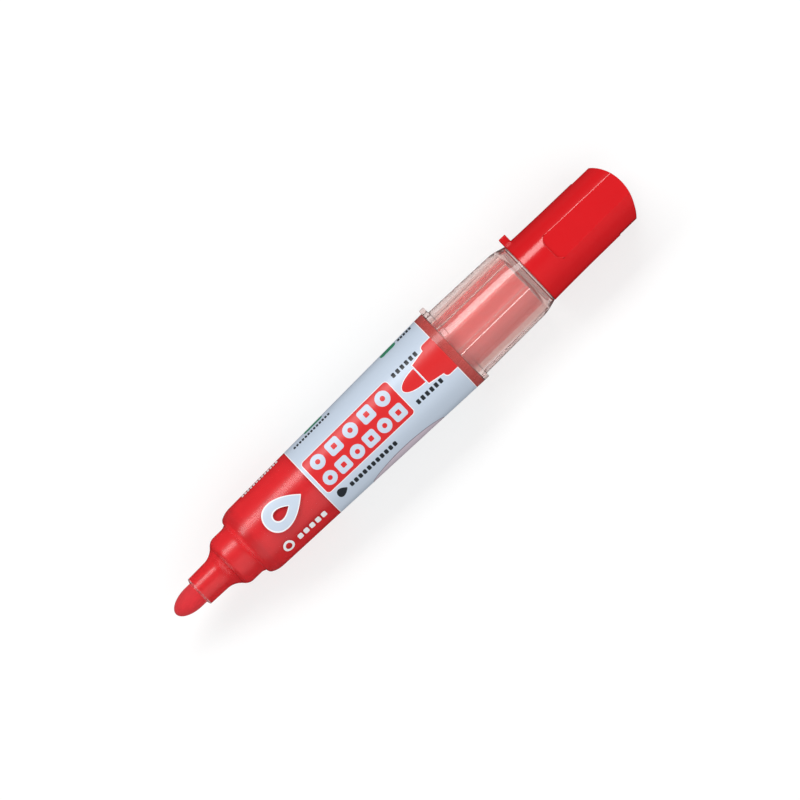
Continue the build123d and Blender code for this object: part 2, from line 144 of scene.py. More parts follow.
class MarkerColours(bpy.types.PropertyGroup):
    """Colours of the plastics, the film, the ink and the print."""

    cap_red: bpy.props.FloatVectorProperty(
        name="Cap",
        description="Red of the cap",
        subtype="COLOR",
        default=linear("DC1C22"),
    )
    feed_red: bpy.props.FloatVectorProperty(
        name="Feed",
        description="Red of the holder and housing",
        subtype="COLOR",
        default=linear("DB2E34"),
    )
    nib_red: bpy.props.FloatVectorProperty(
        name="Nib",
        description="Red of the inked fibre",
        subtype="COLOR",
        default=linear("DE2A33"),
    )
    ink_red: bpy.props.FloatVectorProperty(
        name="Ink",
        description="Red of the liquid ink",
        subtype="COLOR",
        default=linear("DC2428"),
    )
    film: bpy.props.FloatVectorProperty(
        name="Film",
        description="Silver blue of the film",
        subtype="COLOR",
        default=linear("CAD7E7"),
    )
    print_red: bpy.props.FloatVectorProperty(
        name="Print red",
        description="Red of the print",
        subtype="COLOR",
        default=linear("DE2A2C"),
    )
    print_sheer: bpy.props.FloatVectorProperty(
        name="Print sheer",
        description="Sheer red of the last strip",
        subtype="COLOR",
        default=linear("F6DAD6"),
    )
    print_dark: bpy.props.FloatVectorProperty(
        name="Print dark",
        description="Dark of the small print",
        subtype="COLOR",
        default=linear("2B3036"),
    )
    print_green: bpy.props.FloatVectorProperty(
        name="Print green",
        description="Green of the small print",
        subtype="COLOR",
        default=linear("3E8F6C"),
    )
    print_white: bpy.props.FloatVectorProperty(
        name="Print white",
        description="White of the keylines",
        subtype="COLOR",
        default=linear("F4F3F6"),
    )
    clear: bpy.props.FloatVectorProperty(
        name="Clear",
        description="Tint of the clear mouldings",
        subtype="COLOR",
        default=linear("F6F2F1"),
    )
    clear_tail: bpy.props.FloatVectorProperty(
        name="Clear tail",
        description="Tint of the clear tail",
        subtype="COLOR",
        default=linear("F3E0DC"),
    )
    cartridge: bpy.props.FloatVectorProperty(
        name="Cartridge",
        description="Tint of the cartridge",
        subtype="COLOR",
        default=linear("F8E4E2"),
    )
    natural: bpy.props.FloatVectorProperty(
        name="Natural",
        description="Undyed white mouldings",
        subtype="COLOR",
        default=linear("E9E8E2"),
    )
    rubber: bpy.props.FloatVectorProperty(
        name="Rubber",
        description="Stopper rubber",
        subtype="COLOR",
        default=linear("3A3A3D"),
    )
    band_red: bpy.props.FloatVectorProperty(
        name="Band",
        description="Red of the film's last strip",
        subtype="COLOR",
        default=linear("DC5C58"),
    )
    oval: bpy.props.FloatVectorProperty(
        name="Oval",
        description="Pale oval low on the film",
        subtype="COLOR",
        default=linear("D6C8D4"),
    )
    oval_edge: bpy.props.FloatVectorProperty(
        name="Oval edge",
        description="Line round the pale oval",
        subtype="COLOR",
        default=linear("857A86"),
    )
    # a pale pink haze mixed into the clear tail's glass
    tail_haze: bpy.props.FloatVectorProperty(
        name="Tail haze",
        description="Haze of ink on the clear tail",
        subtype="COLOR",
        default=linear("EFCFCB"),
    )
    floor: bpy.props.FloatVectorProperty(
        name="Floor",
        description="Paper under the marker",
        subtype="COLOR",
        default=linear("A2A2A2"),
    )


# ---------------------------------------------------------------- modelling
def pick(piece, test):
    """In edit mode, select only the vertices whose place in mm passes the test."""
    mesh = bmesh.from_edit_mesh(piece.data)
    for vertex in mesh.verts:
        vertex.select_set(bool(test(vertex.co / MM)))
    mesh.select_flush(True)
    bmesh.update_edit_mesh(piece.data)


def turned(name, corners, steps):
    """Draw an outline of (distance, radius) corners in mm and turn it about the axis.

    A third number in a corner rounds it off from that far along its edges. An outline that starts
    off the axis is a ring and is closed.
    """
    bpy.ops.object.select_all(action="DESELECT")
    bpy.ops.mesh.primitive_plane_add(size=MM)
    piece = bpy.context.active_object
    piece.name = piece.data.name = name
    bpy.ops.object.mode_set(mode="EDIT")
    bpy.ops.mesh.select_all(action="SELECT")
    bpy.ops.mesh.merge(type="CENTER")
    run = [Vector((corner[0], corner[1], 0)) * MM for corner in corners]
    bpy.ops.transform.translate(value=run[0])
    if corners[0][1] > 0:
        run.append(run[0])
    for here, there in zip(run, run[1:]):
        bpy.ops.mesh.extrude_region_move(TRANSFORM_OT_translate={"value": there - here})
    bpy.ops.mesh.select_all(action="SELECT")
    bpy.ops.mesh.remove_doubles(threshold=0.001 * MM)
    for x, radius, *soft in corners:
        if soft:
            bpy.ops.mesh.select_all(action="DESELECT")
            pick(piece, lambda co: (co - Vector((x, radius, 0))).length < 0.002)
            bpy.ops.mesh.bevel(offset=soft[0] * MM, segments=6, affect="VERTICES")
    bpy.ops.mesh.select_all(action="SELECT")
    bpy.ops.mesh.spin(steps=steps, angle=2 * math.pi, center=(0, 0, 0), axis=AXIS)
    bpy.ops.mesh.select_all(action="SELECT")
    bpy.ops.mesh.remove_doubles(threshold=0.001 * MM)
    bpy.ops.mesh.normals_make_consistent(inside=False)
    bpy.ops.object.mode_set(mode="OBJECT")
    return piece


def block(name, low, high, rounding, upright=None):
    """A box between two corners in mm, with its edges rounded: all, or those along one axis."""
    middle = (Vector(low) + Vector(high)) / 2 * MM
    bpy.ops.object.select_all(action="DESELECT")
    bpy.ops.mesh.primitive_cube_add(size=1)
    piece = bpy.context.active_object
    piece.name = piece.data.name = name
    bpy.ops.object.mode_set(mode="EDIT")
    bpy.ops.mesh.select_all(action="SELECT")
    bpy.ops.transform.resize(value=(Vector(high) - Vector(low)) * MM)
    bpy.ops.transform.translate(value=middle)
    if upright is not None:
        bpy.ops.mesh.select_mode(type="EDGE")
        bpy.ops.mesh.select_all(action="DESELECT")
        mesh = bmesh.from_edit_mesh(piece.data)
        for edge in mesh.edges:
            along = edge.verts[0].co - edge.verts[1].co
            edge.select_set(abs(along[upright]) > 0.9 * along.length)
        bmesh.update_edit_mesh(piece.data)
    bpy.ops.mesh.bevel(offset=rounding * MM, segments=5, affect="EDGES")
    bpy.ops.mesh.select_mode(type="VERT")
    bpy.ops.object.mode_set(mode="OBJECT")
    return piece


def combine(piece, tool, operation):
    """Join a tool to a piece or cut it away, and drop the tool."""
    bpy.ops.object.select_all(action="DESELECT")
    bpy.context.view_layer.objects.active = piece
    piece.select_set(True)
    bpy.ops.object.modifier_add(type="BOOLEAN")
    modifier = piece.modifiers[-1]
    modifier.operation = operation
    modifier.solver = "EXACT"
    modifier.object = tool
    bpy.ops.object.modifier_apply(modifier=modifier.name)
    bpy.data.objects.remove(tool)


def soften(piece, width, angle):
    """Round every edge that turns more sharply than the angle."""
    bpy.ops.object.select_all(action="DESELECT")
    bpy.context.view_layer.objects.active = piece
    piece.select_set(True)
    bpy.ops.object.mode_set(mode="EDIT")
    bpy.ops.mesh.select_all(action="SELECT")
    bpy.ops.mesh.remove_doubles(threshold=0.02 * MM)
    bpy.ops.object.mode_set(mode="OBJECT")
    bpy.ops.object.modifier_add(type="BEVEL")
    modifier = piece.modifiers[-1]
    modifier.width = width
    modifier.segments = 3
    modifier.limit_method = "ANGLE"
    modifier.angle_limit = math.radians(angle)
    modifier.use_clamp_overlap = False
    bpy.ops.object.modifier_apply(modifier=modifier.name)


def copied(name, node):
    """A copy of a CAD node with its triangles merged, for a piece that is mostly hidden."""
    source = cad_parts[node]
    piece = bpy.data.objects.new(name, source.data.copy())
    piece.data.name = name
    piece.data.materials.clear()
    bpy.context.collection.objects.link(piece)
    bpy.ops.object.select_all(action="DESELECT")
    bpy.context.view_layer.objects.active = piece
    piece.select_set(True)
    bpy.ops.object.mode_set(mode="EDIT")
    bpy.ops.mesh.select_all(action="SELECT")
    bpy.ops.mesh.remove_doubles(threshold=0.0005 * MM)
    bpy.ops.object.mode_set(mode="OBJECT")
    return piece


def fit(piece, node, body, material, angle=28):
    """Smooth a piece, give it its material and let it stand for its CAD node."""
    bpy.ops.object.select_all(action="DESELECT")
    bpy.context.view_layer.objects.active = piece
    piece.select_set(True)
    bpy.ops.object.shade_smooth_by_angle(angle=math.radians(angle))
    bpy.ops.object.modifier_add(type="WEIGHTED_NORMAL")
    modifier = piece.modifiers[-1]
    modifier.keep_sharp = True
    bpy.ops.object.modifier_apply(modifier=modifier.name)
    piece.data.materials.append(material)
    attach(piece, body)
    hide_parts(node)
    return piece


# ---------------------------------------------------------------- materials
def add(tree, kind, settings=None, inputs=None, output=0):
    """Add one node with its settings, its values and its links, and return one of its outputs."""
    made = tree.nodes.new("ShaderNode" + kind)
    for name, value in (settings or {}).items():
        setattr(made, name, value)
    for name, value in (inputs or {}).items():
        if isinstance(value, bpy.types.NodeSocket):
            tree.links.new(value, made.inputs[name])
        else:
            made.inputs[name].default_value = value
    return made.outputs[output]


def blank(name):
    """A new material and its empty node tree."""
    material = bpy.data.materials.new(name)
    material.use_nodes = True
    material.node_tree.nodes.clear()
    return material, material.node_tree


def surface(tree, shader):
    """Make a shader the surface of its material."""
    output = tree.nodes.new("ShaderNodeOutputMaterial")
    tree.links.new(shader, output.inputs["Surface"])


def solid(colour):
    """A colour with the alpha that a colour socket wants."""
    return (*colour[:3], 1.0)


def grain(tree, size, stretch=1.0):
    """Noise on the piece's own coordinates: features of a size in mm, stretched along the axis."""
    place = add(tree, "TexCoord", output="Object")
    scale = 1 / (size * MM)
    place = add(tree, "Mapping", None, {"Vector": place, "Scale": (scale / stretch, scale, scale)})
    values = {"Vector": place, "Scale": 1.0, "Detail": 3.0, "Roughness": 0.6}
    return add(tree, "TexNoise", None, values)


def toned(tree, colour, noise, least, most):
    """A colour that noise turns down or up, from least to most of its brightness."""
    share = add(tree, "MapRange", None, {"Value": noise, "To Min": least, "To Max": most})
    return add(tree, "VectorMath", {"operation": "SCALE"}, {0: colour, "Scale": share})


def lamps_through(tree, shader, passed):
    """Let lamplight pass a clear moulding, which a path bent by its walls seldom does."""
    shadow = add(tree, "LightPath", output="Is Shadow Ray")
    straight = add(tree, "BsdfTransparent", None, {"Color": solid(passed)})
    return add(tree, "MixShader", None, {0: shadow, 1: shader, 2: straight})


def moulded_polypropylene(name, colour, roughness, gloss=0.5):
    """Injection-moulded polypropylene, dyed through: an even colour under a soft gloss.

    The mould leaves a faint unevenness, drawn 1.5 mm wide so that it shows in the highlights.
    """
    material, tree = blank(name)
    uneven = grain(tree, 1.5)
    least, most = roughness - 0.04, roughness + 0.04
    rough = add(tree, "MapRange", None, {"Value": uneven, "To Min": least, "To Max": most})
    shader = add(
        tree,
        "BsdfPrincipled",
        None,
        {
            "Base Color": toned(tree, colour[:3], grain(tree, 7.0), 0.96, 1.04),
            "Roughness": rough,
            "IOR": 1.49,
            "Specular IOR Level": gloss,
            "Normal": add(tree, "Bump", None, {"Height": uneven, "Distance": 0.0006 * MM}),
        },
    )
    surface(tree, shader)
    return material


def clear_polystyrene(tree, tint, roughness):
    """Polished clear polystyrene: it bends what is behind it and brightens at its edges."""
    uneven = grain(tree, 3.0)
    return add(
        tree,
        "BsdfPrincipled",
        None,
        {
            "Base Color": solid(tint),
            "Roughness": roughness,
            "IOR": 1.55,
            "Transmission Weight": 1.0,
            "Normal": add(tree, "Bump", None, {"Height": uneven, "Distance": 0.0006 * MM}),
        },
    )


def bonded_fibre(name, colour, width):
    """Bonded polyester fibre soaked with ink: matt, with fine fibres along the axis."""
    material, tree = blank(name)
    fibres = grain(tree, width / MM, 14.0)
    blotches = grain(tree, 1.6)
    inked = toned(tree, colour[:3], fibres, 0.72, 1.22)
    shader = add(
        tree,
        "BsdfPrincipled",
        None,
        {
            "Base Color": toned(tree, inked, blotches, 0.88, 1.1),
            "Roughness": 0.72,
            "IOR": 1.4,
            "Sheen Weight": 0.15,
            "Normal": add(tree, "Bump", None, {"Height": fibres, "Distance": 0.05 * MM}),
        },
    )
    surface(tree, shader)
    return material


def along_axis(tree):
    """Where a point is along the marker, in mm."""
    x = add(tree, "SeparateXYZ", None, {0: add(tree, "TexCoord", output="Object")}, 0)
    return add(tree, "Math", {"operation": "DIVIDE"}, {0: x, 1: MM})


def wrapped_place(tree, radius):
    """Where a point is on print wrapped round the barrel, in mm: along it, and towards the lugs."""
    place = add(tree, "TexCoord", output="Object")
    y, z = (add(tree, "SeparateXYZ", None, {0: place}, k) for k in (1, 2))
    turn = add(tree, "Math", {"operation": "ARCTAN2"}, {0: y, 1: z})
    turn = add(tree, "Math", {"operation": "MULTIPLY"}, {0: turn, 1: radius})
    return add(tree, "CombineXYZ", None, {0: along_axis(tree), 1: turn})


def box_mask(tree, place, x, y, length, width, corner):
    """1 inside a rounded rectangle of the print and 0 outside."""
    inner = (length / 2 - corner, width / 2 - corner, 0)
    away = add(tree, "VectorMath", {"operation": "SUBTRACT"}, {0: place, 1: (x, y, 0)})
    away = add(tree, "VectorMath", {"operation": "ABSOLUTE"}, {0: away})
    away = add(tree, "VectorMath", {"operation": "SUBTRACT"}, {0: away, 1: inner})
    away = add(tree, "VectorMath", {"operation": "MAXIMUM"}, {0: away})
    away = add(tree, "VectorMath", {"operation": "LENGTH"}, {0: away}, "Value")
    return add(tree, "Math", {"operation": "LESS_THAN"}, {0: away, 1: corner})


def oval_mask(tree, place, x, y, length, width):
    """1 inside an ellipse of the print and 0 outside."""
    away = add(tree, "VectorMath", {"operation": "SUBTRACT"}, {0: place, 1: (x, y, 0)})
    halves = (length / 2, width / 2, 1)
    away = add(tree, "VectorMath", {"operation": "DIVIDE"}, {0: away, 1: halves})
    away = add(tree, "VectorMath", {"operation": "LENGTH"}, {0: away}, "Value")
    return add(tree, "Math", {"operation": "LESS_THAN"}, {0: away, 1: 1.0})


def drop_mask(tree, place, x, y, length, width):
    """1 inside a drop of ink with its point towards the tail, and 0 outside."""
    away = add(tree, "VectorMath", {"operation": "SUBTRACT"}, {0: place, 1: (x, y, 0)})
    halves = (length / 2, width / 2, 1)
    away = add(tree, "VectorMath", {"operation": "DIVIDE"}, {0: away, 1: halves})
    along, across = (add(tree, "SeparateXYZ", None, {0: away}, k) for k in range(2))
    across = add(tree, "Math", {"operation": "ABSOLUTE"}, {0: across})
    past = add(tree, "Math", {"operation": "MULTIPLY_ADD"}, {0: along, 1: 0.5, 2: 0.5})
    past = add(tree, "Math", {"operation": "MAXIMUM"}, {0: past, 1: 0.0})
    past = add(tree, "Math", {"operation": "SQRT"}, {0: past})
    ahead = add(tree, "Math", {"operation": "MULTIPLY_ADD"}, {0: along, 1: -1.3, 2: 1.3})
    half = add(tree, "Math", {"operation": "MULTIPLY"}, {0: past, 1: ahead})
    return add(tree, "Math", {"operation": "LESS_THAN"}, {0: across, 1: half})


def wedge_mask(tree, place, x, to_x, half, to_half):
    """1 inside a wedge of the print, whose half width grows from one end to the other."""
    along, across = (add(tree, "SeparateXYZ", None, {0: place}, k) for k in range(2))
    across = add(tree, "Math", {"operation": "ABSOLUTE"}, {0: across})
    slope = (to_half - half) / (to_x - x)
    from_zero = half - slope * x
    edge = add(tree, "Math", {"operation": "MULTIPLY_ADD"}, {0: along, 1: slope, 2: from_zero})
    inside = add(tree, "Math", {"operation": "LESS_THAN"}, {0: across, 1: edge})
    length = box_mask(tree, place, (x + to_x) / 2, 0, to_x - x, 99, 0.01)
    return add(tree, "Math", {"operation": "MULTIPLY"}, {0: inside, 1: length})


def row_mask(tree, place, x, y, pitch, count, length, width, corner):
    """1 inside a row of equal rounded bars of the print. The row starts at x."""
    away = add(tree, "VectorMath", {"operation": "SUBTRACT"}, {0: place, 1: (x + pitch / 2, y, 0)})
    highest, lowest = (pitch / 2, 900.0, 900.0), (-pitch / 2, -900.0, -900.0)
    away = add(tree, "VectorMath", {"operation": "WRAP"}, {0: away, 1: highest, 2: lowest})
    bar = box_mask(tree, away, 0, 0, length, width, corner)
    whole = box_mask(tree, place, x + pitch * count / 2, y, pitch * count, 2 * width, 0.01)
    return add(tree, "Math", {"operation": "MULTIPLY"}, {0: bar, 1: whole})


def overprinted(tree, ground, *layers):
    """Colours printed one over another, each where its mask is 1."""
    for mask, colour in layers:
        ground = add(tree, "Mix", {"data_type": "RGBA"}, {0: mask, 6: ground, 7: solid(colour)}, 2)
    return ground


def printed_film(sizes, colours):
    """Printed polypropylene film, metallised under the print: silver blue with a satin sheen."""
    material, tree = blank("printed_polypropylene_film")
    place = wrapped_place(tree, PRINT_RADIUS)
    red, dark, pale = colours.print_red, colours.print_dark, colours.film
    white, green = colours.print_white, colours.print_green
    length, width = sizes.badge_length / MM, sizes.badge_width / MM
    first, last = front("label"), rear("label")
    badge_x, badge_y = first + 15.3, -0.4
    layers = [
        (box_mask(tree, place, first, 0, 0.5, 90, 0.01), white),
        # the badge, with two rows of plain rings and tiles
        (box_mask(tree, place, badge_x, badge_y, length + 0.4, width + 0.4, 1.1), white),
        (box_mask(tree, place, badge_x, badge_y, length, width, 0.9), red),
    ]
    for row_y, pitch, count, big in ((2.15, 5.4, 5, 3.9), (-2.9, 4.5, 6, 3.7)):
        start = badge_x - pitch * (count + 1) / 2
        # rings in the odd places and tiles in the even ones, each with a red middle
        for shift, corner, shown in (
            (0, big / 2 - 0.01, (count + 1) // 2),
            (pitch, 0.7, count // 2),
        ):
            at = start + shift
            for size, colour in ((big, pale), (big * 0.34, red)):
                bend = corner * size / big
                row = row_mask(tree, place, at, row_y, 2 * pitch, shown, size, size, bend)
                layers.append((row, colour))
    band = last - 2.3
    layers.append((box_mask(tree, place, band, 0, 0.4, 90, 0.01), white))
    # a round nib and its holder, in red, running up to the band at the tail end
    for edge, colour in ((0.2, white), (0.0, red)):
        tip = add(
            tree,
            "Math",
            {"operation": "MULTIPLY"},
            {
                0: oval_mask(tree, place, band - 8.1, 0, 10.8 + 2 * edge, 4.2 + 2 * edge),
                1: box_mask(tree, place, band - 11.1, 0, 6.0, 9, 0.01),
            },
        )
        layers += [
            (tip, colour),
            (wedge_mask(tree, place, band - 7.7 - edge, band, 2.85 + edge, 4.2 + edge), colour),
            (box_mask(tree, place, band, 0, 7.0 + 2 * edge, 9.5 + 2 * edge, 1.0), colour),
        ]
    layers += [
        (box_mask(tree, place, last, 0, 2 * (last - band), 90, 0.01), colours.band_red),
        # small print: plain bars, a drop and a dotted line
        (row_mask(tree, place, 54.4, 4.4, 1.45, 6, 0.95, 1.25, 0.2), dark),
        (row_mask(tree, place, 54.4, -4.4, 1.45, 6, 0.95, 1.25, 0.2), dark),
        (drop_mask(tree, place, 27.2, -8.2, 3.0, 2.9), dark),
        (row_mask(tree, place, 29.4, -8.4, 1.4, 11, 1.0, 1.5, 0.35), dark),
        (row_mask(tree, place, 25.6, 10.9, 0.95, 13, 0.65, 1.1, 0.2), dark),
        (box_mask(tree, place, 33.0, 13.4, 6.0, 1.8, 0.6), green),
        (box_mask(tree, place, 58.3, 13.0, 5.0, 2.6, 0.9), green),
        (row_mask(tree, place, 61.4, 12.8, 0.95, 5, 0.65, 1.8, 0.2), dark),
        # a pale oval low on the side
        (oval_mask(tree, place, 45.5, -15.6, 23.0, 8.2), colours.oval_edge),
        (oval_mask(tree, place, 45.5, -15.7, 22.5, 7.8), colours.oval),
    ]
    # ruled lines and three drops on the back
    for k in range(5):
        layers.append((box_mask(tree, place, 38.0, 22.0 + 1.7 * k, 24.0, 0.35, 0.1), dark))
    for k in range(3):
        layers.append((drop_mask(tree, place, 56.0 + 4.2 * k, 25.4, 3.6, 3.0), red))
    layers.append((box_mask(tree, place, 45.0, -25.0, 38.0, 0.5, 0.2), red))
    uneven = grain(tree, 2.2)
    ground = toned(tree, colours.film[:3], grain(tree, 9.0, 3.0), 0.97, 1.03)
    opaque = add(
        tree,
        "BsdfPrincipled",
        None,
        {
            "Base Color": overprinted(tree, ground, *layers),
            "Roughness": 0.3,
            "IOR": 1.49,
            "Normal": add(tree, "Bump", None, {"Height": uneven, "Distance": 0.006 * MM}),
        },
    )
    # the last strip has no white under its red, so the tail's ribs show through it
    sheer = add(
        tree,
        "BsdfPrincipled",
        None,
        {
            "Base Color": solid(colours.print_sheer),
            "Roughness": 0.05,
            "IOR": 1.49,
            "Transmission Weight": 1.0,
        },
    )
    past = add(tree, "Math", {"operation": "GREATER_THAN"}, {0: along_axis(tree), 1: band})
    past = add(tree, "Math", {"operation": "MULTIPLY"}, {0: past, 1: 0.55})
    sheer = lamps_through(tree, sheer, colours.print_sheer[:3])
    surface(tree, add(tree, "MixShader", None, {0: past, 1: opaque, 2: sheer}))
    return material


def clear_barrel_plastic(colours):
    """Clear polystyrene of the barrel, with one mark printed in opaque pale ink on its outside."""
    material, tree = blank("clear_polystyrene_barrel")
    place = wrapped_place(tree, MARK_RADIUS)
    mark_x = 13.8
    outer = drop_mask(tree, place, mark_x, -0.7, 11.6, 8.0)
    white_edge = drop_mask(tree, place, mark_x, -0.7, 10.9, 7.3)
    hole_edge = drop_mask(tree, place, mark_x - 0.7, -0.7, 5.4, 3.4)
    hole = drop_mask(tree, place, mark_x - 0.7, -0.7, 4.7, 2.7)
    mark = add(tree, "Math", {"operation": "SUBTRACT"}, {0: outer, 1: hole})
    fill = add(tree, "Math", {"operation": "SUBTRACT"}, {0: white_edge, 1: hole_edge})
    ring = oval_mask(tree, place, 8.9, -8.7, 3.0, 3.6)
    ring_hole = oval_mask(tree, place, 8.9, -8.7, 1.7, 2.1)
    ring = add(tree, "Math", {"operation": "SUBTRACT"}, {0: ring, 1: ring_hole})
    small = row_mask(tree, place, 11.6, -8.9, 1.9, 5, 1.35, 1.8, 0.4)
    top = row_mask(tree, place, 8.6, 12.5, 0.95, 13, 0.65, 1.6, 0.2)
    mask = mark
    for part in (ring, small, top):
        mask = add(tree, "Math", {"operation": "MAXIMUM"}, {0: mask, 1: part})
    # only the outside of the wall is printed, and it lies farther out than this radius
    coords = add(tree, "TexCoord", output="Object")
    flat = add(tree, "VectorMath", {"operation": "MULTIPLY"}, {0: coords, 1: (0, 1, 1)})
    radius = add(tree, "VectorMath", {"operation": "LENGTH"}, {0: flat}, "Value")
    outside = add(tree, "Math", {"operation": "GREATER_THAN"}, {0: radius, 1: 9.3 * MM})
    mask = add(tree, "Math", {"operation": "MULTIPLY"}, {0: mask, 1: outside})
    ink = overprinted(tree, solid(colours.print_white), (fill, colours.film))
    paint = add(tree, "BsdfPrincipled", None, {"Base Color": ink, "Roughness": 0.35})
    glass = lamps_through(tree, clear_polystyrene(tree, colours.clear, 0.27), (0.96,) * 3)
    surface(tree, add(tree, "MixShader", None, {0: mask, 1: glass, 2: paint}))
    return material


def clear_tail_plastic(colours):
    """Clear polystyrene of the tail: thicker, ribbed inside, a little hazy and tinted pink."""
    material, tree = blank("clear_polystyrene_tail")
    glass = clear_polystyrene(tree, colours.clear_tail, 0.04)
    # a pale pink diffuse haze, 7 percent of the tail's surface
    haze = add(tree, "BsdfDiffuse", None, {"Color": solid(colours.tail_haze)})
    hazy = add(tree, "MixShader", None, {0: 0.07, 1: glass, 2: haze})
    surface(tree, lamps_through(tree, hazy, (0.97,) * 3))
    return material


def natural_cartridge_plastic(colours):
    """Undyed polypropylene of the cartridge: milky, so that the ink shows through it softened."""
    material, tree = blank("natural_polypropylene_cartridge")
    milky = add(
        tree,
        "BsdfPrincipled",
        None,
        {
            "Base Color": solid(colours.cartridge),
            "Roughness": 0.18,
            "IOR": 1.49,
            "Transmission Weight": 0.85,
            "Normal": add(tree, "Bump", None, {"Height": grain(tree, 1.2), "Distance": 0.004 * MM}),
        },
    )
    surface(tree, lamps_through(tree, milky, (0.95,) * 3))
    return material


def liquid_ink(colours):
    """Alcohol ink: a deep wet red with a mirror-smooth surface."""
    material, tree = blank("liquid_alcohol_ink")
    shader = add(
        tree,
        "BsdfPrincipled",
        None,
        {
            "Base Color": toned(tree, colours.ink_red[:3], grain(tree, 9.0), 0.94, 1.06),
            "Roughness": 0.05,
            "IOR": 1.36,
        },
    )
    surface(tree, shader)
    return material


def stopper_rubber(colours):
    """Moulded butyl rubber: matt dark grey with a fine dusty grain."""
    material, tree = blank("moulded_butyl_rubber")
    dust = grain(tree, 0.3)
    shader = add(
        tree,
        "BsdfPrincipled",
        None,
        {
            "Base Color": toned(tree, colours.rubber[:3], dust, 0.9, 1.15),
            "Roughness": 0.75,
            "Normal": add(tree, "Bump", None, {"Height": dust, "Distance": 0.01 * MM}),
        },
    )
    surface(tree, shader)
    return material


# ---------------------------------------------------------------- pieces
def barrel_radius(x):
    """Outer radius of the barrel's body, in mm."""
    return BARREL_END_RADIUS - TAPER * (rear("front_barrel") - x)


def bow(x, radius, to_x, to_radius, size):
    """Corners on an arc of a radius between two points: above 0 for round, below for hollow."""
    chord = math.atan2(to_radius - radius, to_x - x)
    half = math.asin(math.hypot(to_x - x, to_radius - radius) / 2 / size)
    for k in range(13):
        heading = chord + half * (1 - k / 6)
        yield (
            x + size * (math.sin(chord + half) - math.sin(heading)),
            radius + size * (math.cos(heading) - math.cos(chord + half)),
        )


def bullet(x, radius, depth):
    """Corners on half an ellipse, from its point on the axis at x on to its widest place."""
    for k in range(17):
        angle = k / 16 * math.pi / 2
        yield (x + depth * (1 - math.cos(angle)), radius * math.sin(angle))


class MARKER_OT_nib(bpy.types.Operator):
    """Turn the fibre nib"""

    bl_idname = "marker.nib"
    bl_label = "Nib"

    def execute(self, context):
        sizes, colours = context.scene.marker_sizes, context.scene.marker_colours
        tip, back = front("nib"), rear("nib")
        rod = [(back, 3.0, 0.4), (back, 1.5), (back - 4.8, 1.5), (back - 4.8, 0)]
        piece = turned("fibre_nib", [*bullet(tip, 3.0, 6.0), *rod], sizes.turn_steps)
        fibre = bonded_fibre("bonded_polyester_fibre", colours.nib_red, sizes.fibre)
        fit(piece, "nib", "barrel", fibre)
        return {"FINISHED"}


class MARKER_OT_barrel(bpy.types.Operator):
    """Turn the clear barrel with its nozzle, flare, neck and tapered body"""

    bl_idname = "marker.barrel"
    bl_label = "Clear barrel"

    def execute(self, context):
        sizes, colours = context.scene.marker_sizes, context.scene.marker_colours
        soft = sizes.edge_round / MM
        lip, end = front("front_barrel"), rear("front_barrel")
        film, film_end = front("label"), rear("label")
        meet = (-5.2, 5.97)  # where the flare's hollow arc turns into its round one
        knee = (1.7, 8.7)  # where the shoulder's tight arc turns into its wide one
        corners = [
            (lip, 3.1),
            (lip, 3.15, 0.03),
            (lip + 0.3, 4.0, 0.1),
            *bow(-9.1, 4.15, *meet, -5.07),
            *bow(*meet, -3.0, 7.0, 2.89),
            (0.0, 7.0, 0.4),
            *bow(0.9, 7.4, *knee, 1.5),
            *bow(*knee, 4.5, 9.45, 6.3),
            (film, barrel_radius(film), 0.05),
            (film, barrel_radius(film) - FILM_THICKNESS),
            (film_end, barrel_radius(film_end) - FILM_THICKNESS),
            (film_end, barrel_radius(film_end), 0.05),
            (end, BARREL_END_RADIUS, soft),
            (end, 9.75, soft),
            (48.9, 9.75),
            (4.5, BODY_BORE, 1.2),
            (2.5, NECK_BORE),
            (-4.1, NECK_BORE, 0.1),
            (-4.6, 5.7, 0.1),
            (-4.6, 5.0, 0.1),
            (-8.0, NOZZLE_BORE, 0.2),
            (lip + 0.6, NOZZLE_BORE, 0.05),
            (lip + 0.6, 3.1, 0.05),
        ]
        piece = turned("clear_barrel", corners, sizes.turn_steps)
        fit(piece, "front_barrel", "barrel", clear_barrel_plastic(colours))
        return {"FINISHED"}


